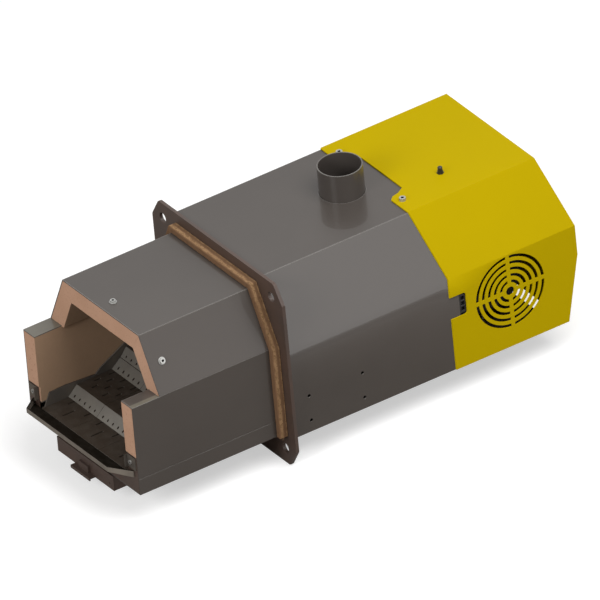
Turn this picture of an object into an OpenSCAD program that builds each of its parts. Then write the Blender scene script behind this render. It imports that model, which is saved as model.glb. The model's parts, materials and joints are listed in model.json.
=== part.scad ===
// Pellet burner that bolts to a boiler door by its flange, with a stepped moving grate.
// X runs across, Y runs along the burner to its rear, Z is up.
// The origin is the centre of the flange's bolts, on the face that meets the boiler.

/* [Flange] */
// Width of the flange
flange_w = 382; // [370:1:420]
// Height of the flange
flange_h = 350; // [338:1:390]
// Thickness of the flange
flange_t = 6; // [4:0.5:12]
// Width cut from each corner
corner_x = 25; // [10:1:30]
// Height cut from each corner
corner_z = 35; // [12:1:42]
// Distance between bolts across
bolt_x = 318; // [310:1:330]
// Distance between bolts up and down
bolt_z = 292; // [284:1:300]
// Diameter of a bolt hole
bolt_d = 18; // [10:1:20]
// Depth of the gasket along the nose
gasket_y = 15.5; // [8:0.5:25]
// Thickness of the gasket round the nose
gasket_t = 11; // [6:0.5:13]

/* [Nose] */
// Width of the nose
nose_w = 320; // [316:1:330]
// Width of the nose across its flat top
nose_top_w = 224; // [200:1:240]
// Depth of the nose below the middle
nose_low = 118; // [114:1:122]
// Height of the nose above the middle
nose_top = 146; // [142:1:152]
// Height where the sloping sides start
shoulder = 50; // [46:1:56]
// Length of the nose's side walls
nose_len = 284; // [276:1:300]
// Length of the arched roof
vault_len = 229.5; // [215:0.5:240]
// Thickness of the sheet metal
sheet = 2; // [1.5:0.1:2.5]
// Height of the seam above the bottom
seam_up = 30; // [20:1:40]
// Thickness of the roof boards
roof_board = 33; // [28:1:34]
// Thickness of the side boards
side_board = 30.5; // [28:0.5:32]
// Bottom of the side boards below the middle
board_low = 76; // [72:1:80]
// Top of the front uprights below the middle
upright_low = 47; // [42:1:52]
// Thickness of the rear board
rear_board_t = 28; // [20:1:29]
// Distance of the roof screws from the roof's front
roof_screw_in = 25; // [18:1:60]

/* [Grate] */
// Gap between two grate plates
plate_gap = 0.6; // [0.4:0.1:1]
// Thickness of the grate plates
plate_t = 4; // [3:0.5:5]
// Travel of the moving rows
grate_travel = 20; // [10:1:20]
// Gap between a moving row and the row under it
slide_gap = 0.5; // [0.3:0.1:0.8]
// Diameter of the air holes
air_hole_d = 3.6; // [2:0.2:5]
// Distance between air holes
air_hole_pitch = 14.7; // [12:0.1:16]
// Width of an air slot
slot_w = 3; // [2:0.2:4]
// Length of an air slot
slot_len = 24; // [16:1:26]
// Half width of the carriage at its bars
carriage_x = 95; // [88:1:105]

/* [Lip and ash box] */
// How far the lip stands out in front
lip_out = 33; // [20:1:45]
// Width of the lip's front edge
lip_w = 238; // [200:1:244]
// Width of the lip at the nose
lip_root_w = 296; // [270:1:310]
// Width of the ash box
ash_w = 165; // [140:1:180]
// Depth of the ash box
ash_h = 28; // [24:1:36]
// Length of the ash box
ash_len = 224; // [180:1:250]

/* [Rear body] */
// Width of the rear body
body_w = 351; // [345:1:356]
// Width of the rear body across its flat top
body_top_w = 255; // [235:1:265]
// Depth of the rear body below the middle
body_low = 124; // [120:1:128]
// Height of the rear body above the middle
body_top = 170; // [160:1:172]
// Where the rear body's sheet ends
body_end = 345; // [341:1:346]
// Where the floor sheet ends
floor_end = 525; // [500:1:535]
// Diameter of the small side holes
side_hole_d = 6; // [3:0.5:8]
// Outer diameter of the pellet pipe
pipe_d = 76; // [70:1:80]
// Wall of the pellet pipe
pipe_wall = 2; // [1.5:0.1:3]
// Gap between the pellet pipe and the top sheet
pipe_gap = 0.7; // [0.6:0.1:1.2]
// How far the pipe's shoulder reaches under the top sheet
pipe_seat = 1.3; // [1:0.1:3]
// Distance of the pellet pipe from the flange's front
pipe_y = 249; // [235:1:252]
// Height of the pellet pipe above the top
pipe_up = 51; // [30:1:80]

/* [Cover] */
// Where the cover starts
cover_start = 327; // [322:1:332]
// Where its ears start
ear_start = 292; // [288:1:300]
// Half width between the ears
ear_in = 60; // [50:1:70]
// Rear edge of the cover's top
cover_top_end = 541; // [530:1:550]
// Rear edge of the cover's sides
cover_end = 576; // [572:1:590]
// Rear edge of the cover at the bottom
cover_low_end = 548; // [540:1:560]
// Height where the cover's rear bends forward
rear_bend = -5; // [-20:1:10]
// Gap between the cover and the body
cover_gap = 0.3; // [0.2:0.1:0.6]
// Distance of the grille's centre from the flange's front
grille_y = 442; // [430:1:460]
// Height of the grille's centre
grille_z = -20; // [-30:1:-15]
// Radius of the outer grille slots
grille_r = 64.2; // [60:0.2:66]
// Distance between two rings of slots
grille_step = 11.6; // [10:0.2:12]
// Width of a grille slot
grille_slot = 5.5; // [3:0.5:7]
// Width of the bridges between the slots
bridge_w = 7; // [4:0.5:10]
// Radius of the hole in the middle
grille_hub = 7.8; // [4:0.2:9]
// Length of the side notch
notch_y = 30; // [24:1:34]
// Bottom of the side notch
notch_low = -27; // [-32:1:-20]
// Top of the side notch
notch_top = 14; // [8:1:20]

/* [Fuel feed] */
// Height of the feed screw above the middle
auger_z = 62; // [58:1:64]
// Inner radius of the feed tube
feed_r = 40; // [38:0.5:40]
// Radius of the feed screw
screw_r = 38; // [34:0.5:38.5]
// Radius of the feed screw's shaft
shaft_r = 10; // [8:0.5:12]
// Pitch of the feed screw
screw_pitch = 70; // [50:1:90]
// Thickness of the feed screw's blade
blade_t = 3; // [2:0.5:4]
// Where the feed tube ends
feed_end = 424; // [415:1:428]
// Thickness of the plate at its end
end_plate_t = 6; // [4:1:7]
// Length of the feed gearbox
gearbox_len = 54; // [50:1:56]
// Length of the feed motor
feed_motor_len = 62; // [50:1:66]

/* [Fan and drive] */
// Outer radius of the fan housing
fan_r = 62; // [58:1:64]
// Inner side of the fan housing
fan_x = 62; // [60:1:66]
// Width of the fan housing
fan_w = 56; // [48:1:60]
// Radius of the fan wheel
wheel_r = 52; // [44:1:54]
// Number of fan blades
blades = 20; // [12:1:28]
// Radius of the fan's shaft
fan_shaft_r = 4; // [3:0.5:5]
// Radius of the push rod
rod_r = 6; // [5:0.5:7]
// Radius of the drive's tube
drive_r = 13; // [10:0.5:16]
// Where the drive's tube starts
drive_start = 40; // [30:1:60]
// Where the drive's tube ends
drive_end = 200; // [180:1:220]
// Length of the drive's gearbox
drive_box_len = 38; // [30:1:45]
// Length of the drive's motor
drive_motor_len = 68; // [50:1:75]
// Radial clearance of shafts and rods in their bores
run_gap = 0.05; // [0.02:0.01:0.09]

/* [Hidden] */
$fn = 48;
nose_x = nose_w / 2;
seat_gap = 0.3;
fit_gap = 0.4;
joint_gap = 0.3;
// Inner face of the side boards
wall_x = nose_x - sheet - side_board;
roof_in = sheet + roof_board;
upright_in = 4;
screw_z = -upright_low - 13;
// Each row of the grate: foot of the riser, run of the riser, rear end and height of the tread
row_foot = [-nose_len, -232, -145, -126, -106, -86, -66];
row_run = [0, 18, 18, 12, 12, 12, 12];
row_end = [-205, -104, -98, -74, -60, -36, -32];
row_z = [-86, -69, -54, -38, -22, -6, 10];
moving_rows = [1, 3, 5];
cheek_t = 2.2;
cheek_x = wall_x - cheek_t - joint_gap;
// Three plates share the width between the cheeks
plate_pitch = 2 * (cheek_x - slide_gap) / 3;
rail_top = -104.5;
carriage_z = rail_top + slide_gap;
carriage_h = 8;
rod_z = -100;
web_t = 2.5;
floor_z = -nose_low + sheet;
cover_x = body_w / 2 + cover_gap;
cover_top = body_top + cover_gap + sheet;
pipe_top = body_top + pipe_up;
feed_out = feed_r + sheet;
feed_front = -rear_board_t - 2;
igniter_at = [-75, 30];
sensor_at = [75, 75];
duct_low = grille_z - fan_r;
duct_h = 40;
duct_end = grille_y - 90;
wheel_disc = 2;
screw_hole_r = 3.2;
ear_screw = [93, 306];
reset_at = [65, 399];
reset_r = 4;
reset_travel = 2.5;
button_in = 12;
slope_angle = atan2(nose_top - shoulder, nose_x - nose_top_w / 2);
slope_mid = 0.5;
steel = "#5a5552";
dark_steel = "#3d3432";
brown = "#4a3630";
clay = "#aa8269";
yellow = "#c8b400";

// Section with upright sides, slopes and a flat top, drawn inside its own outline by four gaps
function hood(half, top_half, low, mid, top, side_in = 0, slope_in = 0, top_in = 0, low_in = 0) =
    let (dx = half - top_half, dz = top - mid)
    let (k = dz * half + dx * mid - slope_in * norm([dx, dz]))
    let (x = half - side_in, z = top - top_in)
    [[-x, low_in - low], [x, low_in - low], [x, (k - dz * x) / dx],
        [(k - dx * z) / dz, z], [-(k - dx * z) / dz, z], [-x, (k - dz * x) / dx]];
function nose(side_in = 0, slope_in = 0, top_in = 0, low_in = 0) =
    hood(nose_x, nose_top_w / 2, nose_low, shoulder, nose_top, side_in, slope_in, top_in, low_in);
function body(gap = 0, low_in = 0) =
    hood(body_w / 2, body_top_w / 2, body_low, shoulder, body_top, gap, gap, gap, low_in);

// Draws a shape given in X and Z from y0 to y1
module along(y0, y1) {
    translate([0, y1, 0]) rotate([90, 0, 0]) linear_extrude(y1 - y0) children();
}
// Draws a shape given in Y and Z from x0 to x1
module across(x0, x1) {
    translate([x0, 0, 0]) rotate([90, 0, 90]) linear_extrude(x1 - x0) children();
}
module bar(x0, x1, y0, y1, z0, z1) {
    translate([x0, y0, z0]) cube([x1 - x0, y1 - y0, z1 - z0]);
}
module window(x0, x1, z0, z1) {
    translate([x0, z0]) square([x1 - x0, z1 - z0]);
}
// Round bar along Y, centred on a place given in X and Z
module rod_y(at, r, y0, y1) {
    translate([at[0], y0, at[1]]) rotate([-90, 0, 0]) cylinder(r = r, h = y1 - y0);
}
module rod_x(r, x0, x1) {
    translate([x0, grille_y, grille_z]) rotate([0, 90, 0]) cylinder(r = r, h = x1 - x0);
}
module both_sides() {
    children();
    mirror([1, 0, 0]) children();
}

// The boiler's door carries everything by this plate
module flange() {
    x = flange_w / 2;
    z = flange_h / 2;
    tip = 4;
    half = [[x - corner_x, z], [x - corner_x + tip, z - tip / 2], [x - tip / 2, z - corner_z + tip],
        [x, z - corner_z]];
    color(brown) difference() {
        along(0, flange_t) polygon(concat(
            [for (p = half) p], [for (i = [3:-1:0]) [half[i][0], -half[i][1]]],
            [for (p = half) -p], [for (i = [3:-1:0]) [-half[i][0], half[i][1]]]));
        for (sx = [-1, 1], sz = [-1, 1])
            rod_y([sx * bolt_x / 2, sz * bolt_z / 2], bolt_d / 2, -1, flange_t + 1);
        rod_y([0, auger_z], feed_out + fit_gap, -1, flange_t + 1);
        rod_y([0, rod_z], rod_r + 1, -1, flange_t + 1);
        rod_y(igniter_at, 9 + fit_gap, -1, flange_t + 1);
        rod_y(sensor_at, 7 + fit_gap, -1, flange_t + 1);
        along(-1, flange_t + 1) duct_hollow();
    }
}
module gasket() {
    color("#9b7850") along(-gasket_y, 0) difference() {
        polygon(nose(-gasket_t, -gasket_t, -gasket_t));
        polygon(nose(0, 0, 0, -1));
    }
}

// Places its children on the roof's three screw positions, with Z out of the sheet
module at_roof_screws() {
    y = roof_screw_in - vault_len;
    x = nose_x - (nose_x - nose_top_w / 2) * slope_mid;
    z = shoulder + (nose_top - shoulder) * slope_mid;
    translate([0, y, nose_top]) children();
    for (s = [-1, 1]) translate([s * x, y, z]) rotate([0, s * slope_angle, 0]) children();
}
module roof_jacket() {
    color(steel) difference() {
        along(-vault_len, 0) difference() {
            polygon(nose());
            polygon(nose(sheet, sheet, sheet, -1));
            window(-nose_x - 1, nose_x + 1, -nose_low - 2, shoulder);
        }
        at_roof_screws() cylinder(r = screw_hole_r, h = 3 * sheet, center = true);
    }
}
module side_jackets() {
    color(steel) both_sides() union() {
        bar(nose_x - sheet, nose_x, -nose_len, 0, seam_up - nose_low, shoulder);
        bar(wall_x, nose_x, -nose_len, -vault_len, shoulder - sheet, shoulder);
    }
}
module nose_channel() {
    color(steel) difference() {
        along(-nose_len, 0) difference() {
            window(-nose_x, nose_x, -nose_low, seam_up - nose_low);
            window(sheet - nose_x, nose_x - sheet, floor_z, nose_top);
        }
        bar(10 - ash_w / 2, ash_w / 2 - 10, 16 - nose_len, ash_len - nose_len - 40,
            -nose_low - 1, floor_z + 1);
    }
}
module roof_board() {
    outer = nose(sheet, sheet, sheet)[3];
    inner = nose(roof_in, roof_in, roof_in)[3];
    color(clay) difference() {
        along(-vault_len, 0) polygon([[-outer[0], outer[1]], [outer[0], outer[1]],
            [inner[0], inner[1]], [-inner[0], inner[1]]]);
        at_roof_screws() cylinder(r = screw_hole_r, h = 60, center = true);
    }
}
module slope_boards() {
    outer = nose(sheet, sheet, sheet);
    inner = nose(roof_in, roof_in, roof_in);
    seat = shoulder - sheet;
    slope = (inner[3][0] - inner[2][0]) / (inner[3][1] - inner[2][1]);
    foot = inner[3][0] + slope * (seat - inner[3][1]);
    color(clay) difference() {
        both_sides() along(-vault_len, 0)
            polygon([outer[3], inner[3], [foot, seat], [outer[2][0], seat], outer[2]]);
        at_roof_screws() cylinder(r = screw_hole_r, h = 60, center = true);
    }
}
module side_boards() {
    color(clay) both_sides() difference() {
        union() {
            bar(wall_x, nose_x - sheet, -nose_len, 0, -upright_low, shoulder - sheet);
            bar(wall_x, nose_x - sheet, sheet + seat_gap - nose_len, 0, -board_low, 0);
        }
        rod_y([wall_x + side_board / 2, screw_z], 2.2, -nose_len, 9 - nose_len);
    }
}
module rear_board() {
    in = roof_in + seat_gap;
    low = row_z[6] + 2;
    color(clay) difference() {
        along(-rear_board_t, 0) polygon(
            nose(nose_x - wall_x + seat_gap, in, in, low + nose_low));
        rod_y([0, auger_z], feed_out + fit_gap, -rear_board_t - 1, 1);
        rod_y(igniter_at, 9 + fit_gap, -rear_board_t - 1, 1);
        rod_y(sensor_at, 7 + fit_gap, -rear_board_t - 1, 1);
    }
}

// Steel front under the boards, with an upright beside each end of the grate
module front_plate() {
    top = row_z[0] - plate_t - seat_gap;
    x = nose_x - sheet;
    color(brown) difference() {
        along(-nose_len, sheet - nose_len) union() {
            window(-x, x, floor_z, top);
            window(wall_x + upright_in, x, top, -upright_low - seat_gap);
            window(-x, -wall_x - upright_in, top, -upright_low - seat_gap);
        }
        for (s = [-1, 1])
            rod_y([s * (wall_x + side_board / 2), screw_z], 2, -nose_len - 1, 4 - nose_len);
    }
}
module corner_brackets() {
    x = wall_x + upright_in;
    z = -upright_low - 1;
    color(dark_steel) both_sides() difference() {
        union() {
            bar(x, nose_x - sheet - 2, -nose_len - sheet, -nose_len, z - 24, z);
            bar(x, x + sheet, -nose_len - 7, -nose_len, z - 24, z);
        }
        rod_y([wall_x + side_board / 2, screw_z], 2.2, -nose_len - 3, 1 - nose_len);
    }
}
module bracket_screws() {
    color("silver") both_sides() difference() {
        union() {
            rod_y([wall_x + side_board / 2, screw_z], 1.9, -nose_len - sheet, 8 - nose_len);
            rod_y([wall_x + side_board / 2, screw_z], 3.6, -nose_len - 4.5, -nose_len - sheet);
        }
        rod_y([wall_x + side_board / 2, screw_z], 1.6, -nose_len - 5, -nose_len - 3);
    }
}
module roof_screws() {
    washer = 1.2;
    color("silver") at_roof_screws() difference() {
        union() {
            translate([0, 0, -22]) cylinder(r = screw_hole_r - 0.2, h = 22 + washer);
            translate([0, 0, washer]) cylinder(r = 4.8, h = 3);
        }
        translate([0, 0, washer + 1]) cylinder(r = 2.6, h = 3, $fn = 6);
    }
}
module roof_washers() {
    color("white") at_roof_screws() difference() {
        cylinder(r = 6.5, h = 1.2);
        translate([0, 0, -1]) cylinder(r = screw_hole_r, h = 4);
    }
}

// Plates beside the grate, which follow its steps and carry the side boards
module grate_cheeks() {
    rise = 12;
    start = sheet + seat_gap - nose_len;
    color(dark_steel) both_sides() union() {
        across(cheek_x, cheek_x + cheek_t) polygon([[start, floor_z], [-1, floor_z],
            [-1, row_z[6] - 1], [-rear_board_t - 1, row_z[6] + 1],
            [-rear_board_t - 1, row_z[6] + rise], [row_foot[6], row_z[6] + rise],
            [row_foot[2] + 30, row_z[2] + 24], [row_foot[2] - 20, row_z[1] + rise],
            [row_foot[2] - 31, row_z[1] + 3], [row_foot[1] - 2, row_z[1] + 7],
            [start + 15, row_z[1] + 6], [start + 4, row_z[0]], [start, row_z[0]]]);
        bar(cheek_x + cheek_t, nose_x - sheet, start, -1, -board_low - sheet, -board_low);
    }
}
module grate_bars() {
    lead = [34, 0, 27, 0, 26, 0, 16];
    color(dark_steel) for (i = [0, 2, 4, 6])
        bar(-cheek_x, cheek_x, row_foot[i] + lead[i], row_foot[i] + lead[i] + 6,
            row_z[i] - plate_t - 6, row_z[i] - plate_t);
}

// One plate of a row: a leaning riser with air holes at its foot and a flat tread
module grate_plate(i) {
    w = plate_pitch - plate_gap;
    y0 = row_foot[i];
    y1 = y0 + row_run[i];
    z0 = i == 0 ? row_z[0] - plate_t : row_z[i - 1] + slide_gap;
    z1 = row_z[i];
    difference() {
        across(-w / 2, w / 2) polygon([[y0, z0], [y1, z1], [row_end[i], z1],
            [row_end[i], z1 - plate_t], [y1 + plate_t * 0.6, z1 - plate_t], [y0 + plate_t, z0]]);
        if (i > 0) for (k = [-2:2])
            rod_y([k * air_hole_pitch, z0 + 4.5], air_hole_d / 2, y0 - 1, y1 + plate_t + 1);
        if (i == 0) for (k = [-1:1])
            tread_slot(k * 24, y0 + 13 + abs(k) * 26, z1);
        if (i == 1) for (j = [0:3], x = j % 2 == 0 ? [-16, 16] : [-31, 0, 31])
            tread_slot(x, y1 + 12 + j * 15, z1, 13);
    }
}
module tread_slot(x, y, z, l = slot_len) {
    bar(x - slot_w / 2, x + slot_w / 2, y, y + l, z - plate_t - 1, z + 1);
}
module grate_row(i) {
    color(i % 2 == 0 ? dark_steel : "#6b6661") for (p = [-1:1])
        translate([p * plate_pitch, 0, 0]) grate_plate(i);
}
module grate_row_1() { grate_row(0); }
module grate_row_2() { grate_row(1); }
module grate_row_3() { grate_row(2); }
module grate_row_4() { grate_row(3); }
module grate_row_5() { grate_row(4); }
module grate_row_6() { grate_row(5); }
module grate_row_7() { grate_row(6); }

// Frame under the moving rows: two runners, a cross bar and one windowed web for each row
module grate_carriage() {
    top = carriage_z + carriage_h;
    color(steel) union() {
        both_sides() bar(carriage_x - 4, carriage_x + 4, row_end[1] - 2, -20, carriage_z, top);
        bar(-carriage_x, carriage_x, -32, -20, carriage_z, top + 4);
        for (i = moving_rows) difference() {
            bar(-cheek_x + 5, cheek_x - 5, row_end[i] - web_t, row_end[i],
                carriage_z + 1, row_z[i] - plate_t);
            for (x = [-2:2]) bar(x * 46 - 18, x * 46 + 18, row_end[i] - 5, row_end[i] + 1,
                top + 5, row_z[i] - plate_t - 6);
        }
    }
}
module carriage_rails() {
    color(dark_steel) both_sides()
        bar(carriage_x - 5, carriage_x + 5, row_end[1] - grate_travel - 6, -2, floor_z, rail_top);
}
module push_rod() {
    color("silver") rod_y([0, rod_z], rod_r, -20, drive_end - 30);
}
module drive_tube() {
    color(steel) difference() {
        union() {
            rod_y([0, rod_z], drive_r, drive_start, drive_end);
            for (y = [drive_start + 20, drive_end - 24])
                bar(-26, 26, y, y + 6, sheet - body_low, rod_z + 8);
        }
        rod_y([0, rod_z], rod_r + run_gap, drive_start - 1, drive_end - 4);
    }
}
module drive_motor() {
    box_y = drive_end + 12;
    motor_y = box_y + drive_box_len;
    color("#2c2c2e") union() {
        rod_y([0, rod_z], drive_r + 5, drive_end, box_y);
        bar(-20, 20, box_y, motor_y, rod_z - 20, rod_z + 24);
        rod_y([0, rod_z + 3], drive_r + 5, motor_y, motor_y + drive_motor_len);
    }
}

// Tray in front of the grate with a raised front edge and slanting ends
module ash_lip() {
    y1 = -nose_len;
    y0 = y1 - lip_out;
    low = row_z[0] - sheet;
    front = row_z[0] + 10;
    color(dark_steel) union() {
        hull() both_sides() union() {
            bar(lip_w / 2 - 1, lip_w / 2, y0, y0 + sheet, front - sheet, front);
            bar(lip_root_w / 2 - 1, lip_root_w / 2, y1 - sheet, y1, low, low + sheet);
        }
        bar(-lip_w / 2, lip_w / 2, y0, y0 + sheet, front - sheet, front + 7);
        both_sides() hull() {
            bar(lip_w / 2 - sheet, lip_w / 2, y0, y0 + sheet, front - sheet, front + 7);
            bar(lip_root_w / 2 - sheet, lip_root_w / 2, y1 - sheet, y1, low, low + 12);
        }
    }
}
module ash_box() {
    x = ash_w / 2;
    z = -nose_low - ash_h;
    color(brown) difference() {
        bar(-x, x, -nose_len, ash_len - nose_len, z, -nose_low);
        bar(sheet - x, x - sheet, -nose_len - 1, ash_len - nose_len - sheet, z + sheet, 0);
    }
}
module ash_drawer() {
    x = ash_w / 2;
    y = -nose_len - seat_gap;
    z = -nose_low - ash_h;
    in = x - sheet - 0.5;
    color(brown) union() {
        difference() {
            bar(-x, x, y - sheet, y, z, -nose_low - seat_gap);
            rod_y([x - 12, z + 10], 2, y - 5, y + 1);
        }
        difference() {
            bar(-in, in, y - 0.5, ash_len - nose_len - 12, z + sheet + seat_gap, -nose_low - 3);
            bar(1.5 - in, in - 1.5, y, ash_len - nose_len - 13.5, z + 2 * sheet, 0);
        }
        bar(-28, 28, y - sheet - 12, y - sheet, z + 1, z + 3.5);
        bar(-28, 28, y - sheet - 12, y - sheet - 10, z - 2, z + 3.5);
        bar(-14, 14, y - sheet - 5, y - sheet, z + 3, z + 16);
    }
}

// Rear body: one folded hood, with a floor sheet that runs on under the fan
module rear_casing() {
    color(steel) difference() {
        union() {
            along(flange_t, body_end) difference() {
                polygon(body());
                polygon(body(sheet, sheet));
            }
            bar(-body_w / 2, body_w / 2, body_end - 1, floor_end, -body_low, sheet - body_low);
        }
        translate([0, pipe_y, body_top]) cylinder(r = pipe_d / 2 + pipe_gap, h = 20, center = true);
        for (s = [-1, 1]) {
            translate([s * ear_screw[0], ear_screw[1], body_top])
                cylinder(r = screw_hole_r, h = 20, center = true);
            for (y = [44, 149], z = [-103, -56]) translate([s * body_w / 2, y, z])
                rotate([0, 90, 0]) cylinder(r = side_hole_d / 2, h = 20, center = true);
        }
    }
}
module pellet_pipe() {
    color(steel) difference() {
        translate([0, pipe_y, auger_z]) union() {
            cylinder(r = pipe_d / 2, h = pipe_top - auger_z, $fn = 96);
            cylinder(r = pipe_d / 2 + pipe_gap + pipe_seat, h = body_top - sheet - auger_z, $fn = 96);
        }
        translate([0, pipe_y, auger_z - 1])
            cylinder(r = pipe_d / 2 - pipe_wall, h = pipe_top - auger_z + 2, $fn = 96);
        rod_y([0, auger_z], feed_out + seat_gap, pipe_y - pipe_d, pipe_y + pipe_d);
    }
}

// Fuel feed from the pipe's foot to the back of the grate
module feed_tube() {
    color(steel) difference() {
        rod_y([0, auger_z], feed_out, feed_front, feed_end);
        rod_y([0, auger_z], feed_r, feed_front - 1, feed_end + 1);
        translate([0, pipe_y, auger_z]) cylinder(r = pipe_d / 2 - pipe_wall, h = 2 * feed_r);
    }
}
module feed_end_plate() {
    x = feed_out + 8;
    color(steel) difference() {
        along(feed_end, feed_end + end_plate_t) window(-x, x, auger_z - x, auger_z + x);
        rod_y([0, auger_z], 2 * shaft_r + 1 + seat_gap, feed_end - 1, feed_end + end_plate_t + 1);
    }
}
module feed_bearing() {
    color("silver") difference() {
        rod_y([0, auger_z], 2 * shaft_r + 1, feed_end - 8, feed_end + end_plate_t);
        rod_y([0, auger_z], shaft_r + run_gap, feed_end - 9, feed_end + end_plate_t + 1);
    }
}
module feed_shaft() {
    color("#4c4a48") rod_y([0, auger_z], shaft_r, feed_front + 4, feed_end + 44);
}
// The blade is a thin slice of a ring, twisted as it is drawn along the shaft
module feed_screw() {
    wedge = 360 * blade_t / screw_pitch;
    r0 = shaft_r + 0.2;
    len = feed_end - feed_front - 24;
    turns = len / screw_pitch;
    slice = concat([for (a = [0:wedge / 2:wedge]) r0 * [cos(a), sin(a)]],
        [for (a = [wedge:-wedge / 4:0]) screw_r * [cos(a), sin(a)]]);
    color("#55524f") translate([0, feed_front + 6, auger_z]) rotate([-90, 0, 0])
        linear_extrude(len, twist = -360 * turns, slices = ceil(turns * 20), segments = 0, $fn = 0)
            polygon(slice);
}
module feed_gearbox() {
    y = feed_end + end_plate_t;
    color("#8a8d90") difference() {
        along(y, y + gearbox_len) polygon([[-42, 26 - 6], [-36, 20 - 6], [36, 20 - 6], [42, 26 - 6],
            [42, auger_z + 36], [36, auger_z + 42], [-36, auger_z + 42], [-42, auger_z + 36]]);
        rod_y([0, auger_z], shaft_r + run_gap, y - 1, y + 42);
    }
}
module feed_motor() {
    y = feed_end + end_plate_t + gearbox_len;
    end = y + feed_motor_len;
    color("#2c2c2e") difference() {
        union() {
            rod_y([0, auger_z], 31, y, end - 6);
            rod_y([0, auger_z], 25, end - 6, end);
        }
        for (k = [0:4]) difference() {
            rod_y([0, auger_z], 40, y + 8 + k * 9, y + 12 + k * 9);
            rod_y([0, auger_z], 28.5, y + 7 + k * 9, y + 13 + k * 9);
        }
    }
}

// Air way from the fan to the space under the grate
module duct_section(wall) {
    window(fan_x + wall, fan_x + fan_w - wall, duct_low + wall, duct_low + duct_h - wall);
}
module duct_hollow() {
    duct_section(1.5);
}
module air_duct() {
    color(steel) along(flange_t, duct_end) difference() {
        duct_section(0);
        duct_hollow();
    }
}
module fan_shell(wall) {
    rod_x(fan_r - wall, fan_x + wall, fan_x + fan_w - wall);
    along(duct_end, grille_y) duct_section(wall);
}
module fan_housing() {
    color("#77797b") difference() {
        fan_shell(0);
        fan_shell(1.5);
        along(duct_end - 2, duct_end + 10) duct_hollow();
        rod_x(wheel_r * 0.8, fan_x + fan_w - 3, fan_x + fan_w + 1);
        rod_x(2 * fan_shaft_r, fan_x - 1, fan_x + 3);
    }
}
module fan_wheel() {
    x = fan_x + 6;
    color("#9a9c9e") difference() {
        union() {
            rod_x(wheel_r, x, x + wheel_disc);
            rod_x(3 * fan_shaft_r, x, x + 18);
        }
        rod_x(fan_shaft_r + run_gap, x - 1, x + 19);
    }
}
// Blades between the wheel's disc and its front ring
module fan_cage() {
    x = fan_x + 6 + wheel_disc;
    color("#9a9c9e") union() {
        difference() {
            rod_x(wheel_r, x + fan_w - 18, x + fan_w - 16);
            rod_x(wheel_r * 0.76, x + fan_w - 19, x + fan_w - 15);
        }
        for (k = [0:blades - 1]) translate([x, grille_y, grille_z])
            rotate([k * 360 / blades, 0, 0]) translate([0, wheel_r * 0.74, -4])
                rotate([35, 0, 0]) cube([fan_w - 17.5, wheel_r * 0.22, 1.6]);
    }
}
module fan_shaft() {
    color("silver") rod_x(fan_shaft_r, fan_x - 50, fan_x + 26);
}
module fan_motor() {
    color("#2c2c2e") difference() {
        union() {
            rod_x(28, fan_x - 56, fan_x - 3);
            rod_x(34, fan_x - 3, fan_x);
        }
        rod_x(fan_shaft_r + run_gap, fan_x - 51, fan_x + 1);
    }
}
module fan_bracket() {
    y = grille_y - 52;
    z = sheet - body_low;
    color(steel) across(fan_x + 6, fan_x + fan_w - 6) polygon([[y, z], [y + 36, z],
        [y + 36, duct_low], [y + 33, duct_low], [y + 33, z + 3], [y + 3, z + 3],
        [y + 3, duct_low], [y, duct_low]]);
}

module igniter_tube() {
    color("silver") difference() {
        rod_y(igniter_at, 9, -rear_board_t - 4, 90);
        rod_y(igniter_at, 7.5, -rear_board_t - 5, 91);
    }
}
module igniter() {
    color("#d8d0c4") union() {
        rod_y(igniter_at, 5, -rear_board_t - 1, 90);
        rod_y(igniter_at, 9, 90, 108);
    }
}
module flame_sensor() {
    color("#2c2c2e") union() {
        rod_y(sensor_at, 7, -rear_board_t - 1, 60);
        rod_y(sensor_at, 11, 60, 88);
    }
}
module cable_socket() {
    x = body_w / 2;
    color("#1c1c1e") difference() {
        bar(x - 18, x - 0.1, body_end, body_end + 12.5, notch_low + 3, notch_top - 3);
        for (k = [0:2])
            bar(x - 6, x, body_end + 3, body_end + 9.5, notch_low + 7 + k * 10, notch_low + 14 + k * 10);
    }
}

// Overheat thermostat under the cover's top, with its reset button
module thermostat() {
    top = cover_top - sheet;
    color("#2c2c2e") difference() {
        translate([reset_at[0], reset_at[1], top - 30]) cylinder(r = 13, h = 30);
        translate([reset_at[0], reset_at[1], top - button_in - reset_travel - 0.5])
            cylinder(r = reset_r + run_gap, h = 20);
    }
}
module reset_bush() {
    color("#232324") translate([reset_at[0], reset_at[1], cover_top - sheet]) difference() {
        union() {
            cylinder(r = reset_r + 0.8, h = sheet + 5);
            translate([0, 0, sheet]) cylinder(r = reset_r + 2.2, h = 1.6, $fn = 6);
        }
        translate([0, 0, -1]) cylinder(r = reset_r + run_gap, h = sheet + 10);
    }
}
module reset_button() {
    h = button_in + sheet + 11;
    color("#141414") translate([reset_at[0], reset_at[1], cover_top - sheet - button_in]) union() {
        cylinder(r = reset_r, h = h);
        translate([0, 0, h]) rotate_extrude() intersection() {
            translate([0, -2.4]) circle(r = 4.6);
            square([reset_r, 3]);
        }
    }
}

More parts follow.
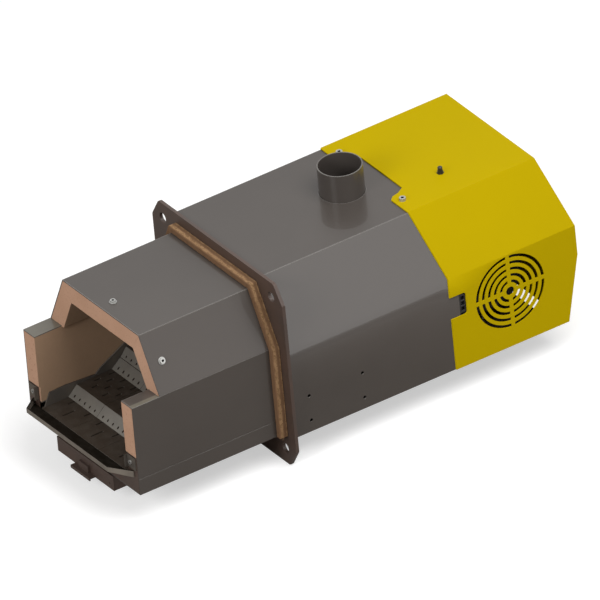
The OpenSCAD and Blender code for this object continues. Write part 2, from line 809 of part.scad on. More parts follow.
// Cover: side view and cross section together give its bent rear and sloping shoulders
module cover_form(wall) {
    low = wall == 0 ? 0 : 20;
    intersection() {
        along(ear_start - 10, cover_end + 10) polygon(body(wall - cover_gap - sheet, -low));
        across(-body_w, body_w) polygon([[ear_start - 5, -body_low - low],
            [ear_start - 5, cover_top + 5], [cover_top_end - wall, cover_top + 5],
            [cover_top_end - wall, cover_top], [cover_end - wall, shoulder],
            [cover_end - wall, rear_bend], [cover_low_end - wall, -body_low],
            [cover_low_end - wall, -body_low - low]]);
    }
}
module cover_plan() {
    x = cover_x + sheet;
    ear = [[ear_in, cover_start], [ear_in + 9, cover_start - 14], [ear_in + 12, ear_start + 8],
        [ear_in + 20, ear_start], [body_top_w / 2, ear_start], [x, cover_start]];
    polygon(concat([for (p = ear) p], [[x, cover_end + 5], [-x, cover_end + 5]],
        [for (i = [5:-1:0]) [-ear[i][0], ear[i][1]]]));
}
module grille_cut() {
    for (r = [grille_r:-grille_step:grille_hub + grille_step / 2]) difference() {
        circle(r = r + grille_slot / 2, $fn = 96);
        circle(r = r - grille_slot / 2, $fn = 96);
        square([bridge_w, 3 * grille_r], center = true);
        square([3 * grille_r, bridge_w], center = true);
    }
    circle(r = grille_hub);
}
module notch_cut() {
    r = 5;
    y1 = cover_start + notch_y;
    translate([cover_start - 5, notch_low]) square([notch_y + 5 - r, notch_top - notch_low]);
    translate([y1 - 2 * r, notch_low + r]) square([2 * r, notch_top - notch_low - 2 * r]);
    for (z = [notch_low + r, notch_top - r]) translate([y1 - r, z]) circle(r = r);
}
module cover() {
    x = cover_x + sheet;
    color(yellow) difference() {
        intersection() {
            cover_form(0);
            translate([0, 0, -2 * body_low]) linear_extrude(3 * body_top + body_low) cover_plan();
        }
        cover_form(sheet);
        for (s = [-1, 1]) {
            across(s * x - 4, s * x + 4) translate([grille_y, grille_z]) grille_cut();
            translate([s * ear_screw[0], ear_screw[1], cover_top])
                cylinder(r = screw_hole_r, h = 20, center = true);
        }
        across(x - 4, x + 4) notch_cut();
        translate([reset_at[0], reset_at[1], cover_top])
            cylinder(r = reset_r + 0.8 + seat_gap, h = 20, center = true);
    }
}
module cover_screws() {
    color("silver") for (s = [-1, 1]) translate([s * ear_screw[0], ear_screw[1], cover_top])
        difference() {
            union() {
                translate([0, 0, -12]) cylinder(r = screw_hole_r - 0.2, h = 12);
                cylinder(r = 5.5, h = 5.5);
            }
            translate([0, 0, 2]) cylinder(r = 2.9, h = 5, $fn = 6);
        }
}

flange();
gasket();
roof_jacket();
side_jackets();
nose_channel();
roof_board();
slope_boards();
side_boards();
rear_board();
front_plate();
corner_brackets();
bracket_screws();
roof_screws();
roof_washers();
grate_cheeks();
grate_bars();
grate_row_1();
grate_row_2();
grate_row_3();
grate_row_4();
grate_row_5();
grate_row_6();
grate_row_7();
grate_carriage();
carriage_rails();
push_rod();
drive_tube();
drive_motor();
ash_lip();
ash_box();
ash_drawer();
rear_casing();
pellet_pipe();
feed_tube();
feed_end_plate();
feed_bearing();
feed_shaft();
feed_screw();
feed_gearbox();
feed_motor();
air_duct();
fan_housing();
fan_wheel();
fan_cage();
fan_shaft();
fan_motor();
fan_bracket();
igniter_tube();
igniter();
flame_sensor();
cable_socket();
thermostat();
reset_bush();
reset_button();
cover();
cover_screws();
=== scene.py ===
import json
import math

import bmesh
import bpy
from mathutils import Matrix, Vector


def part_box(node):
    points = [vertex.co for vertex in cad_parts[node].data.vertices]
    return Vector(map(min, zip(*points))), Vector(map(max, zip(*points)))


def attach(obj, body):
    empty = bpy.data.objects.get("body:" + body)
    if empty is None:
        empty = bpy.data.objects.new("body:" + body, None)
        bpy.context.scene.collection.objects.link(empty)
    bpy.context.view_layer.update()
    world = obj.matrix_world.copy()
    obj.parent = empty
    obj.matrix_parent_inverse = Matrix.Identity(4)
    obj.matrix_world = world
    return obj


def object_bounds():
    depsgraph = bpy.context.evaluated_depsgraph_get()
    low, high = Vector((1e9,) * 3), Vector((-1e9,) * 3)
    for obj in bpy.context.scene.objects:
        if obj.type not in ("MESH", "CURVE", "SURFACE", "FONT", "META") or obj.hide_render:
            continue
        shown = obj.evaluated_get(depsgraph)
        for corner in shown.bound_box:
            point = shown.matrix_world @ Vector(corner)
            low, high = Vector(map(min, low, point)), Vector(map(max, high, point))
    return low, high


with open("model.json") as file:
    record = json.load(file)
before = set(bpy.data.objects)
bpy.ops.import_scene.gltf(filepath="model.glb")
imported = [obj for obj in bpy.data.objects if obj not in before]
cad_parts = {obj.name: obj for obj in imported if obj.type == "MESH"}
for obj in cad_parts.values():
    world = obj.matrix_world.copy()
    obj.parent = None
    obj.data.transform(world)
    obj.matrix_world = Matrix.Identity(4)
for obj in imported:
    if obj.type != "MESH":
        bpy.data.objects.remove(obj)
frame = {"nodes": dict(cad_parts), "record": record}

MM = 0.001
cad_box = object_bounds()
nodes = frame["nodes"]
scene = bpy.context.scene

# Camera: turn, height and roll of the photograph's view, and the length that its frame takes in
VIEW_TURN = math.radians(59.17)
VIEW_HEIGHT = math.radians(32.23)
VIEW_ROLL = math.radians(-5.6)
VIEW_DISTANCE = 4.0
VIEW_WIDTH = 977.9 * MM
# A point on the middle plane at the nose's front lower edge, and the photo pixel that shows it
MARK = Vector((0.0, -284.0, -118.0)) * MM
MARK_PIXEL = (85.97, 455.79)
PHOTO = 600

# Light of the world, which is plain white to the camera
WORLD_LIGHT = 0.32
WORLD_COLOUR = (1.0, 0.985, 0.96)
# The floor is white to the camera and greyer in the light that it throws back on the burner
FLOOR_COLOUR = (0.6, 0.6, 0.6)
FLOOR_BOUNCE = (0.34, 0.32, 0.3)
FLOOR_LIFT = 0.52
FLOOR_HALF = 30.0
FLOOR_GAP = 0.5 * MM
# Lamps: name, place, aim, size, power, and the height of the one that is a rectangle
LAMPS = (("key", (1.6, 0.6, 3.2), (0, 0.1, 0), 3.2, 114),
         ("front", (1.0, -3.0, 1.9), (0, 0, 0), 1.6, 60),
         ("rim", (3.0, 1.6, 0.48), (0.05, 0.17, 0.1), 1.5, 11, 0.8))

# Sockets of the node that mixes two colours
MIX_FIRST, MIX_SECOND, MIX_RESULT = 6, 7, 2
# A finish: the span of the noise that shows, the spread of the shine, the depth of the grain
PATCH_LOW, PATCH_HIGH = 0.35, 0.65
SHINE_SPREAD = 0.15
GRAIN_DEPTH = 0.4 * MM
# Painted highlight on the upper bends: colour, reach, cosines of the normal's turn, and how far
# the normal looks up
BEND_HIGHLIGHT_COLOUR = (0.2, 0.19, 0.175)
BEND_HIGHLIGHT_RADIUS = 2.6 * MM
BEND_HIGHLIGHT_SAMPLES = 6
BEND_HIGHLIGHT_START, BEND_HIGHLIGHT_FULL = 0.998, 0.93
UPWARD_START, UPWARD_FULL = 0.55, 0.7
# Colour laid by facing, soot on some finishes and painted light and shade on others: the scale of
# its blots and the span of their noise
BLOT_SCALE = 55.0
BLOT_LOW, BLOT_HIGH = 0.3, 0.6
# Bands in pressed fibre: the span of the wave that shows
BAND_LOW, BAND_HIGH = 0.35, 0.75
# The stretch of X, in millimetres, that the painted light on the caps of the nose's side sheets
# leaves bare
CAP_BARE = (120, 151)


def add_camera():
    turn, height = VIEW_TURN, VIEW_HEIGHT
    back = Vector((math.sin(turn) * math.cos(height), -math.cos(turn) * math.cos(height),
                   math.sin(height)))
    right = Vector((math.cos(turn), math.sin(turn), 0))
    up = back.cross(right)
    right_rolled = math.cos(VIEW_ROLL) * right + math.sin(VIEW_ROLL) * up
    up_rolled = -math.sin(VIEW_ROLL) * right + math.cos(VIEW_ROLL) * up
    per_pixel = VIEW_WIDTH / PHOTO
    middle = (MARK + right_rolled * (PHOTO / 2 - MARK_PIXEL[0]) * per_pixel
              + up_rolled * (MARK_PIXEL[1] - PHOTO / 2) * per_pixel)
    data = bpy.data.cameras.new("photo_view")
    data.type = "ORTHO"
    data.ortho_scale = VIEW_WIDTH
    data.clip_end = 50
    camera = bpy.data.objects.new("photo_view", data)
    turned = Matrix((right_rolled, up_rolled, back)).transposed()
    camera.matrix_world = Matrix.Translation(middle + back * VIEW_DISTANCE) @ turned.to_4x4()
    scene.collection.objects.link(camera)
    scene.camera = camera


def area_lamp(name, place, aim, size, power, high=None):
    data = bpy.data.lights.new(name, "AREA")
    data.shape = "RECTANGLE" if high else "DISK"
    data.size = size
    data.size_y = high or size
    data.energy = power
    lamp = bpy.data.objects.new(name, data)
    lamp.location = place
    lamp.rotation_euler = (Vector(aim) - Vector(place)).to_track_quat("-Z", "Y").to_euler()
    scene.collection.objects.link(lamp)


class Tree:
    """A short way to add and join the nodes of a material, world or geometry tree."""

    def __init__(self, tree):
        self.tree = tree

    def add(self, kind, values=None, **settings):
        made = self.tree.nodes.new(kind)
        for key, value in settings.items():
            setattr(made, key, value)
        for key, value in (values or {}).items():
            made.inputs[key].default_value = value
        return made

    def join(self, source, out, target, into):
        self.tree.links.new(source.outputs[out], target.inputs[into])


def world_light(tree):
    """Light that is plain white to the camera and in reflections."""
    path = tree.add("ShaderNodeLightPath")
    shiny = tree.add("ShaderNodeMath", operation="MAXIMUM")
    either = tree.add("ShaderNodeMath", operation="MAXIMUM")
    tree.join(path, "Is Glossy Ray", shiny, 0)
    tree.join(path, "Is Transmission Ray", shiny, 1)
    tree.join(path, "Is Camera Ray", either, 0)
    tree.join(shiny, 0, either, 1)
    lit = tree.add("ShaderNodeBackground", {"Color": (*WORLD_COLOUR, 1), "Strength": WORLD_LIGHT})
    seen = tree.add("ShaderNodeBackground", {"Color": (1, 1, 1, 1), "Strength": 1.0})
    mix = tree.add("ShaderNodeMixShader")
    tree.join(either, 0, mix, 0)
    tree.join(lit, 0, mix, 1)
    tree.join(seen, 0, mix, 2)
    return mix


def floor_paper():
    """White to the camera, and a plain grey to every other ray."""
    paper = bpy.data.materials.new("floor_paper")
    paper.use_nodes = True
    paper.node_tree.nodes.clear()
    tree = Tree(paper.node_tree)
    out = tree.add("ShaderNodeOutputMaterial")
    path = tree.add("ShaderNodeLightPath")
    shade = tree.add("ShaderNodeBsdfDiffuse", {"Color": (*FLOOR_COLOUR, 1)})
    lift = tree.add("ShaderNodeEmission", {"Strength": FLOOR_LIFT})
    white = tree.add("ShaderNodeAddShader")
    bounce = tree.add("ShaderNodeBsdfDiffuse", {"Color": (*FLOOR_BOUNCE, 1)})
    mix = tree.add("ShaderNodeMixShader")
    tree.join(shade, 0, white, 0)
    tree.join(lift, 0, white, 1)
    tree.join(path, "Is Camera Ray", mix, 0)
    tree.join(bounce, 0, mix, 1)
    tree.join(white, 0, mix, 2)
    tree.join(mix, 0, out, 0)
    return paper


def add_studio():
    world = bpy.data.worlds.new("studio")
    world.use_nodes = True
    scene.world = world
    world.node_tree.nodes.clear()
    tree = Tree(world.node_tree)
    out = tree.add("ShaderNodeOutputWorld")
    tree.join(world_light(tree), 0, out, 0)
    for lamp in LAMPS:
        area_lamp(*lamp)
    low, half = cad_box[0].z - FLOOR_GAP, FLOOR_HALF
    mesh = bpy.data.meshes.new("floor")
    mesh.from_pydata([(-half, -half, low), (half, -half, low), (half, half, low),
                      (-half, half, low)], [], [(0, 1, 2, 3)])
    floor = bpy.data.objects.new("floor", mesh)
    scene.collection.objects.link(floor)
    mesh.materials.append(floor_paper())


def finish_material(name, colour, rough, metallic=0.0, coat=0.0, coat_rough=0.08, tint=None,
                    patch=7.0, amount=0.25, grain=900.0, bump=0.02, stretch=(1, 1, 1),
                    specular=0.5, bend_highlight=False):
    """A surface whose colour drifts in large patches and whose skin has a fine grain.

    It is handed on with what a further layer needs: tree, shader, place and colour mix.
    """
    material = bpy.data.materials.new(name)
    material.use_nodes = True
    tree = Tree(material.node_tree)
    shader = material.node_tree.nodes["Principled BSDF"]
    shader.inputs["Metallic"].default_value = metallic
    shader.inputs["Specular IOR Level"].default_value = specular
    shader.inputs["Coat Weight"].default_value = coat
    shader.inputs["Coat Roughness"].default_value = coat_rough
    place = tree.add("ShaderNodeTexCoord")
    turned = tree.add("ShaderNodeMapping", {"Scale": stretch})
    tree.join(place, "Object", turned, 0)
    patches = tree.add("ShaderNodeTexNoise", {"Scale": patch, "Detail": 6.0, "Roughness": 0.6})
    tree.join(turned, 0, patches, "Vector")
    spread = tree.add("ShaderNodeMapRange", {"From Min": PATCH_LOW, "From Max": PATCH_HIGH})
    tree.join(patches, "Fac", spread, 0)
    mix = tree.add("ShaderNodeMix", data_type="RGBA")
    other = tint or tuple(min(1.0, c * (1 + amount)) for c in colour)
    mix.inputs[MIX_FIRST].default_value = (*colour, 1)
    mix.inputs[MIX_SECOND].default_value = (*other, 1)
    tree.join(spread, 0, mix, 0)
    tree.join(mix, MIX_RESULT, shader, "Base Color")
    fine = tree.add("ShaderNodeTexNoise", {"Scale": grain, "Detail": 3.0})
    tree.join(turned, 0, fine, "Vector")
    shine = tree.add("ShaderNodeMapRange", {"To Min": rough * (1 - SHINE_SPREAD),
                                            "To Max": rough * (1 + SHINE_SPREAD)})
    tree.join(patches, "Fac", shine, 0)
    tree.join(shine, 0, shader, "Roughness")
    raised = tree.add("ShaderNodeBump", {"Strength": bump, "Distance": GRAIN_DEPTH})
    tree.join(fine, "Fac", raised, "Height")
    tree.join(raised, 0, shader, "Normal")
    made = material, tree, shader, turned, mix
    # Finishes that ask for it get a painted highlight along their upper bends
    return painted_bend_highlight(made) if bend_highlight else made


def lay_over(made, share, colour):
    """Covers a finish with another colour, to the share that a node gives."""
    material, tree, shader, turned, mix = made
    over = tree.add("ShaderNodeMix", data_type="RGBA")
    tree.join(share, 0, over, 0)
    tree.join(mix, MIX_RESULT, over, MIX_FIRST)
    over.inputs[MIX_SECOND].default_value = (*colour, 1)
    tree.join(over, MIX_RESULT, shader, "Base Color")
    return material, tree, shader, turned, over


def painted_bend_highlight(made):
    """Paints a light line along the upper bends as a painted highlight, where the rounded normal
    leaves the face's own.
    """
    tree = made[1]
    bend = tree.add("ShaderNodeBevel", {"Radius": BEND_HIGHLIGHT_RADIUS}, samples=BEND_HIGHLIGHT_SAMPLES)
    face = tree.add("ShaderNodeNewGeometry")
    alike = tree.add("ShaderNodeVectorMath", operation="DOT_PRODUCT")
    tree.join(bend, 0, alike, 0)
    tree.join(face, "True Normal", alike, 1)
    near = tree.add("ShaderNodeMapRange", {"From Min": BEND_HIGHLIGHT_START, "From Max": BEND_HIGHLIGHT_FULL})
    tree.join(alike, "Value", near, 0)
    parts = tree.add("ShaderNodeSeparateXYZ")
    tree.join(bend, 0, parts, 0)
    upper = tree.add("ShaderNodeMapRange", {"From Min": UPWARD_START, "From Max": UPWARD_FULL})
    tree.join(parts, "Z", upper, 0)
    share = tree.add("ShaderNodeMath", operation="MULTIPLY")
    tree.join(near, 0, share, 0)
    tree.join(upper, 0, share, 1)
    return lay_over(made, share, BEND_HIGHLIGHT_COLOUR)


def soot_and_painted_light(made, colour, start=0.82, full=0.97, least=0.7, axis="Z", bare=None):
    """Lays a colour on faces that look along an axis, broken by a noise: soot on the fire steel
    and the lip, painted light on the side jackets' caps, painted shade on the ceramic and a darker
    tone on the grate.
    """
    _, tree, _, turned, _ = made
    place = tree.add("ShaderNodeTexCoord")
    parts = tree.add("ShaderNodeSeparateXYZ")
    tree.join(place, "Normal", parts, 0)
    facing = tree.add("ShaderNodeMapRange", {"From Min": start, "From Max": full})
    tree.join(parts, axis, facing, 0)
    blots = tree.add("ShaderNodeTexNoise", {"Scale": BLOT_SCALE, "Detail": 5.0,
                                            "Roughness": 0.65})
    tree.join(turned, 0, blots, "Vector")
    uneven = tree.add("ShaderNodeMapRange", {"From Min": BLOT_LOW, "From Max": BLOT_HIGH,
                                             "To Min": least})
    tree.join(blots, "Fac", uneven, 0)
    share = tree.add("ShaderNodeMath", operation="MULTIPLY")
    tree.join(facing, 0, share, 0)
    tree.join(uneven, 0, share, 1)
    if bare:
        share = left_bare(tree, place, share, bare)
    return lay_over(made, share, colour)


def left_bare(tree, place, share, span):
    """Keeps a stretch of X, given in millimetres, clear of what lies on the rest."""
    parts = tree.add("ShaderNodeSeparateXYZ")
    tree.join(place, "Object", parts, 0)
    before = tree.add("ShaderNodeMapRange", {"From Min": (span[0] + 1) * MM,
                                             "From Max": span[0] * MM})
    after = tree.add("ShaderNodeMapRange", {"From Min": (span[1] - 1) * MM,
                                            "From Max": span[1] * MM})
    outside = tree.add("ShaderNodeMath", operation="MAXIMUM")
    kept = tree.add("ShaderNodeMath", operation="MULTIPLY")
    tree.join(parts, "X", before, 0)
    tree.join(parts, "X", after, 0)
    tree.join(before, 0, outside, 0)
    tree.join(after, 0, outside, 1)
    tree.join(outside, 0, kept, 0)
    tree.join(share, 0, kept, 1)
    return kept


def speckle(made, colour, scale, low, high):
    """Adds small marks of another colour where a fine noise passes a threshold."""
    _, tree, _, turned, _ = made
    dots = tree.add("ShaderNodeTexNoise", {"Scale": scale, "Detail": 2.0})
    tree.join(turned, 0, dots, "Vector")
    cut = tree.add("ShaderNodeMapRange", {"From Min": low, "From Max": high})
    tree.join(dots, "Fac", cut, 0)
    return lay_over(made, cut, colour)


def layered(made, colour, spacing, axis):
    """Adds thin bands of another colour across one axis, as in pressed fibre."""
    _, tree, _, turned, _ = made
    bands = tree.add("ShaderNodeTexWave", {"Scale": 1 / spacing, "Distortion": 1.5,
                                           "Detail": 3.0, "Detail Scale": 3.0},
                     bands_direction=axis)
    tree.join(turned, 0, bands, "Vector")
    cut = tree.add("ShaderNodeMapRange", {"From Min": BAND_LOW, "From Max": BAND_HIGH})
    tree.join(bands, "Fac", cut, 0)
    return lay_over(made, cut, colour)


def casing_paint(name, bend_highlight=False):
    """The grey paint of the nose and the body."""
    return finish_material(name, (0.062, 0.053, 0.047), 0.34, coat=0.35, coat_rough=0.03,
                           amount=0.12, patch=4.0, grain=1400.0, specular=0.25, bend_highlight=bend_highlight)


def make_materials():
    made = {}
    # The casing and the side jackets get a painted highlight along their upper bends; the nose
    # channel's paint has none
    made["casing_steel"] = casing_paint("casing_steel", bend_highlight=True)
    # The side jackets' up-facing caps get painted light, all but the cap at positive X
    made["jacket_steel"] = soot_and_painted_light(casing_paint("jacket_steel", bend_highlight=True), (0.135, 0.125, 0.1),
                                least=0.85, bare=CAP_BARE)
    made["channel_steel"] = casing_paint("channel_steel")
    made["flange_steel"] = finish_material(
        "flange_steel", (0.055, 0.037, 0.03), 0.5, coat=0.08, tint=(0.072, 0.043, 0.032),
        patch=14.0, bump=0.12)
    made["fibre_gasket"] = layered(speckle(finish_material(
        "fibre_gasket", (0.25, 0.142, 0.066), 0.95, tint=(0.31, 0.185, 0.09), patch=60.0,
        grain=500.0, bump=0.9), (0.18, 0.1, 0.042), 260.0, 0.52, 0.62),
        (0.155, 0.08, 0.036), 0.034, "Y")
    # The ceramic takes a darker olive brown on every face that doesn't look forward: painted shade
    # inside the vault
    made["ceramic"] = soot_and_painted_light(speckle(finish_material(
        "ceramic", (0.47, 0.274, 0.178), 0.93, tint=(0.52, 0.31, 0.208), patch=16.0,
        grain=420.0, bump=0.45), (0.38, 0.21, 0.13), 340.0, 0.6, 0.72),
        (0.3, 0.193, 0.118), start=-0.9, full=-0.4, least=0.92, axis="Y")
    made["fire_steel"] = soot_and_painted_light(finish_material(
        "fire_steel", (0.1, 0.09, 0.08), 0.5, metallic=0.35, tint=(0.13, 0.11, 0.09),
        patch=22.0, bump=0.3, specular=0.15), (0.045, 0.034, 0.026))
    # The grate steel is darker on every face that doesn't look forward
    made["grate_steel"] = soot_and_painted_light(finish_material(
        "grate_steel", (0.17, 0.158, 0.14), 0.45, metallic=0.35, tint=(0.21, 0.195, 0.17),
        patch=22.0, bump=0.25, specular=0.15), (0.055, 0.042, 0.032), start=-0.55,
        full=-0.35, least=0.85, axis="Y")
    # The lip's light grey is partly the steel's own tone and partly a painted highlight along its
    # front strip; its up-facing floor is near black with soot
    made["lip_steel"] = soot_and_painted_light(finish_material(
        "lip_steel", (0.17, 0.15, 0.128), 0.5, metallic=0.3, tint=(0.22, 0.195, 0.165),
        patch=30.0, bump=0.25, specular=0.05), (0.008, 0.006, 0.004), start=0.5, full=0.8,
        least=0.92)
    # Dark alloy for the fan's parts: painted shade behind the grille
    made["shaded_alloy"] = finish_material(
        "shaded_alloy", (0.05, 0.05, 0.052), 0.5, metallic=0.5, patch=40.0, grain=1200.0,
        bump=0.25)
    made["zinc_steel"] = finish_material(
        "zinc_steel", (0.4, 0.4, 0.385), 0.45, metallic=0.7, patch=60.0, amount=0.1, bump=0.05)
    made["frame_steel"] = finish_material(
        "frame_steel", (0.3, 0.29, 0.28), 0.38, metallic=0.7, patch=30.0, grain=600.0, bump=0.1,
        stretch=(1, 0.1, 1))
    made["motor_black"] = finish_material(
        "motor_black", (0.02, 0.02, 0.022), 0.45, patch=20.0, bump=0.15)
    made["gear_alloy"] = finish_material(
        "gear_alloy", (0.42, 0.43, 0.44), 0.45, metallic=0.8, patch=40.0, grain=1200.0, bump=0.25)
    # Near-black for the linings of the screws' sockets: painted shade
    made["socket_dark"] = finish_material(
        "socket_dark", (0.008, 0.008, 0.008), 0.7, patch=60.0, bump=0.1, specular=0.05)
    made["heater_ceramic"] = finish_material(
        "heater_ceramic", (0.7, 0.66, 0.6), 0.8, patch=50.0, amount=0.08, bump=0.2)
    made["black_plastic"] = finish_material(
        "black_plastic", (0.014, 0.014, 0.015), 0.32, patch=60.0, grain=1800.0, bump=0.12)
    made["cover_yellow"] = finish_material(
        "cover_yellow", (0.473, 0.346, 0.0), 0.45, amount=0.03, patch=5.0, grain=1500.0,
        bump=0.03, specular=0.03)
    return {name: parts[0] for name, parts in made.items()}


def grate_rows(rows, value):
    return {"grate_row_%d" % row: value for row in rows}


# Rounding of each CAD node's edges, in millimetres; what isn't named keeps its sharp edges
EDGE = {
    "flange": 0.8, "roof_jacket": 1.0, "side_jackets": 0.8, "nose_channel": 0.8,
    "rear_casing": 1.6, "cover": 1.6, "roof_board": 0.8, "slope_boards": 0.8,
    "side_boards": 0.8, "rear_board": 0.8, "front_plate": 0.5, "ash_lip": 0.5, "ash_box": 0.8,
    "ash_drawer": 0.6, "grate_row_1": 0.2, "grate_row_2": 0.25, **grate_rows(range(3, 8), 0.3),
    "grate_cheeks": 0.4, "gasket": 1.5, "cable_socket": 0.5, "reset_button": 0.3,
    "cover_screws": 0.5, "roof_screws": 0.4, "roof_washers": 0.25, "feed_gearbox": 1.5,
}
# Round nodes are welded for a smooth shade, and their edges stay sharp
ROUND_NODES = ["pellet_pipe", "feed_tube", "feed_shaft", "feed_motor", "fan_motor", "push_rod",
               "drive_tube", "drive_motor", "igniter", "igniter_tube", "flame_sensor",
               "thermostat", "reset_bush", "fan_housing", "feed_screw", "feed_bearing"]
WELD_REACH = 0.02 * MM
FLAT_ANGLE = math.radians(0.5)
EDGE_ANGLE = math.radians(28)
EDGE_SEGMENTS = 2

# Nodes whose finish in the photograph differs from their record slot's
OTHER_FINISH = {
    **grate_rows((1, 3, 5, 7), "grate_steel"), "ash_lip": "lip_steel",
    "side_jackets": "jacket_steel", "nose_channel": "channel_steel",
    # The fan's parts take a dark alloy as painted shade of the casing's inside behind the grille
    "fan_housing": "shaded_alloy", "fan_wheel": "shaded_alloy", "fan_cage": "shaded_alloy",
}


def dress_nodes(materials):
    slot_of = {part["node"]: part["material_slot"] for part in frame["record"]["subparts"]}
    slot_of.update(OTHER_FINISH)
    for name, node in nodes.items():
        node.data.materials.clear()
        node.data.materials.append(materials[slot_of[name]])
        if name in EDGE or name in ROUND_NODES:
            weld = node.modifiers.new("weld", "WELD")
            weld.merge_threshold = WELD_REACH
        if name in EDGE:
            flat = node.modifiers.new("flat_faces", "DECIMATE")
            flat.decimate_type = "DISSOLVE"
            flat.angle_limit = FLAT_ANGLE
            round_edge = node.modifiers.new("round_edge", "BEVEL")
            round_edge.width = EDGE[name] * MM
            round_edge.segments = EDGE_SEGMENTS
            round_edge.limit_method = "ANGLE"
            round_edge.angle_limit = EDGE_ANGLE
            round_edge.use_clamp_overlap = True
            even = node.modifiers.new("even_shading", "WEIGHTED_NORMAL")
            even.weight = 100


def new_piece(name, mesh, body, material):
    mesh.materials.clear()
    mesh.materials.append(material)
    piece = bpy.data.objects.new(name, mesh)
    scene.collection.objects.link(piece)
    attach(piece, body)
    return piece


# Loose fibres on the gasket: how many on a square metre, their seed, turn and scale
FIBRE_DENSITY = 26000.0
FIBRE_SEED = 7
FIBRE_TURN = (0.25, 0.3, 1.1)
FIBRE_SCALE = (0.45, 1.25)
# One strand: length, half width, sway to the side, height and arch in millimetres, then how fast
# it sways and thins out along its length, and its steps and sides
FIBRE_LENGTH = 5.0
FIBRE_WIDTH = 0.22
FIBRE_SWAY = 1.1
FIBRE_HEIGHT = 0.75
FIBRE_ARCH = 2.6
FIBRE_BEND = 5.0
FIBRE_TAPER = 1.6
FIBRE_STEPS = 5
FIBRE_SIDES = 3
# The fibres grow on faces that look forwards by this much, or away from the gasket's middle line
FORWARD = 0.5
OUTWARD = 0.05 * MM
# Sockets of the node that draws a plain random number
RANDOM_LEAST, RANDOM_MOST, RANDOM_RESULT = 2, 3, 1


def fibre_strand():
    """One bent strand, which lies along X, thins out and dips at its ends."""
    form = bmesh.new()
    rings = []
    for step in range(FIBRE_STEPS + 1):
        t = step / FIBRE_STEPS - 0.5
        thick = FIBRE_WIDTH * (1 - FIBRE_TAPER * t * t)
        centre = Vector((FIBRE_LENGTH * t, FIBRE_SWAY * math.sin(FIBRE_BEND * t),
                         FIBRE_HEIGHT - FIBRE_ARCH * t * t))
        turns = [side * math.tau / FIBRE_SIDES for side in range(FIBRE_SIDES)]
        rings.append([form.verts.new((centre + thick * Vector((0, math.cos(a), math.sin(a)))) * MM)
                      for a in turns])
    for low, high in zip(rings, rings[1:]):
        for side in range(FIBRE_SIDES):
            after = (side + 1) % FIBRE_SIDES
            form.faces.new((low[side], low[after], high[after], high[side]))
    form.faces.new(rings[0][::-1])
    form.faces.new(rings[-1])
    mesh = bpy.data.meshes.new("fibre_strand")
    form.to_mesh(mesh)
    form.free()
    return bpy.data.objects.new("fibre_strand", mesh)


def gasket_skin():
    """The gasket's front and outer faces, on which the fibres grow."""
    form = bmesh.new()
    form.from_mesh(nodes["gasket"].data)
    low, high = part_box("gasket")
    middle = (Vector(low) + Vector(high)) / 2
    form.normal_update()
    away = []
    for face in form.faces:
        out = face.calc_center_median() - middle
        outer = out.x * face.normal.x + out.z * face.normal.z > OUTWARD
        if face.normal.y > FORWARD or (abs(face.normal.y) < FORWARD and not outer):
            away.append(face)
    bmesh.ops.delete(form, geom=away, context="FACES")
    mesh = bpy.data.meshes.new("gasket_skin")
    form.to_mesh(mesh)
    form.free()
    return bpy.data.objects.new("gasket_skin", mesh)


def scatter_group():
    """Geometry nodes that spread one strand over a surface, turned and sized at random."""
    group = bpy.data.node_groups.new("spread_strands", "GeometryNodeTree")
    sockets = {}
    for name, kind in (("Surface", "NodeSocketGeometry"), ("Strand", "NodeSocketObject"),
                       ("Density", "NodeSocketFloat"), ("Seed", "NodeSocketInt"),
                       ("Material", "NodeSocketMaterial")):
        sockets[name] = group.interface.new_socket(name, in_out="INPUT",
                                                   socket_type=kind).identifier
    group.interface.new_socket("Strands", in_out="OUTPUT", socket_type="NodeSocketGeometry")
    tree = Tree(group)
    given = tree.add("NodeGroupInput")
    out = tree.add("NodeGroupOutput")
    spread = tree.add("GeometryNodeDistributePointsOnFaces")
    strand = tree.add("GeometryNodeObjectInfo")
    spin = tree.add("FunctionNodeRandomValue", data_type="FLOAT_VECTOR")
    spin.inputs["Min"].default_value = tuple(-angle for angle in FIBRE_TURN)
    spin.inputs["Max"].default_value = FIBRE_TURN
    turn = tree.add("FunctionNodeRotateRotation", rotation_space="LOCAL")
    to_turn = tree.add("FunctionNodeEulerToRotation")
    size = tree.add("FunctionNodeRandomValue", data_type="FLOAT")
    size.inputs[RANDOM_LEAST].default_value = FIBRE_SCALE[0]
    size.inputs[RANDOM_MOST].default_value = FIBRE_SCALE[1]
    place = tree.add("GeometryNodeInstanceOnPoints")
    real = tree.add("GeometryNodeRealizeInstances")
    paint = tree.add("GeometryNodeSetMaterial")
    tree.join(given, "Surface", spread, "Mesh")
    tree.join(given, "Density", spread, "Density")
    tree.join(given, "Seed", spread, "Seed")
    tree.join(given, "Seed", spin, "Seed")
    tree.join(given, "Seed", size, "Seed")
    tree.join(given, "Strand", strand, "Object")
    tree.join(spin, "Value", to_turn, 0)
    tree.join(spread, "Rotation", turn, "Rotation")
    tree.join(to_turn, 0, turn, "Rotate By")
    tree.join(spread, "Points", place, "Points")
    tree.join(strand, "Geometry", place, "Instance")
    tree.join(turn, 0, place, "Rotation")
    tree.join(size, RANDOM_RESULT, place, "Scale")
    tree.join(place, 0, real, 0)
    tree.join(real, 0, paint, 0)
    tree.join(given, "Material", paint, "Material")
    tree.join(paint, 0, out, 0)
    return group, sockets


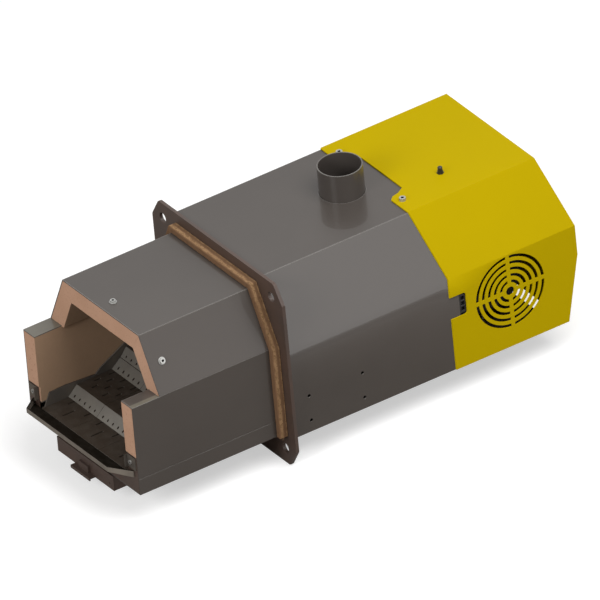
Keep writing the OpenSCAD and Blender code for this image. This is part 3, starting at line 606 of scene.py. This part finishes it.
def add_gasket_fibres(materials):
    group, sockets = scatter_group()
    skin, strand = gasket_skin(), fibre_strand()
    for helper in (skin, strand):
        scene.collection.objects.link(helper)
    grow = skin.modifiers.new("fibres", "NODES")
    grow.node_group = group
    for name, value in (("Strand", strand), ("Density", FIBRE_DENSITY), ("Seed", FIBRE_SEED),
                        ("Material", materials["fibre_gasket"])):
        grow[sockets[name]] = value
    graph = bpy.context.evaluated_depsgraph_get()
    graph.update()
    mesh = bpy.data.meshes.new_from_object(skin.evaluated_get(graph))
    for helper in (skin, strand):
        bpy.data.objects.remove(helper)
    mesh.name = "gasket_fibres"
    new_piece("gasket_fibres", mesh, "burner", materials["fibre_gasket"])


# Sockets in screw heads: number of corners, then radius and the heights of floor and rim in
# millimetres, and for each screw its place and outward direction
SOCKETS = {
    "roof": ((6, 2.55, 2.25, 4.0), (((0, -204.5, 146), (0, 0, 1)),
                                    ((136, -204.5, 98), (0.8944, 0, 0.4472)),
                                    ((-136, -204.5, 98), (-0.8944, 0, 0.4472)))),
    "cover": ((6, 2.85, 2.05, 5.2), (((93, 306, 172.3), (0, 0, 1)),
                                     ((-93, 306, 172.3), (0, 0, 1)))),
    "bracket": ((12, 1.55, 3.05, 4.3), (((142.75, -284, -60), (0, -1, 0)),
                                        ((-142.75, -284, -60), (0, -1, 0)))),
}
# The dimple in a socket's floor: shares of its radius, and how far each lies under the floor
DIMPLE = ((0.55, 0.02), (0.25, 0.04))


def add_socket_shade(materials):
    """Near-black linings in the screws' sockets, painted shade of the deep recesses: a floor with
    a dimple and a wall up to the rim.
    """
    for name, ((corners, radius, low, high), screws) in SOCKETS.items():
        form = bmesh.new()
        turns = [k * math.tau / corners for k in range(corners)]
        profile = [(radius, high), (radius, low)]
        profile += [(radius * share, low - deep) for share, deep in DIMPLE]
        for at, out in screws:
            turn = Vector((0, 0, 1)).rotation_difference(Vector(out)).to_matrix()
            rings = []
            for r, h in profile:
                spots = [Vector((r * math.cos(a), r * math.sin(a), h)) for a in turns]
                rings.append([form.verts.new((Vector(at) + turn @ spot) * MM) for spot in spots])
            for upper, lower in zip(rings, rings[1:]):
                for k in range(corners):
                    after = (k + 1) % corners
                    form.faces.new((upper[k], lower[k], lower[after], upper[after]))
            form.faces.new(rings[-1])
        mesh = bpy.data.meshes.new("socket_cups_" + name)
        form.to_mesh(mesh)
        form.free()
        new_piece("socket_cups_" + name, mesh, "burner", materials["socket_dark"])


materials = make_materials()
add_camera()
add_studio()
dress_nodes(materials)
add_gasket_fibres(materials)
add_socket_shade(materials)

scene.view_settings.view_transform = "Standard"
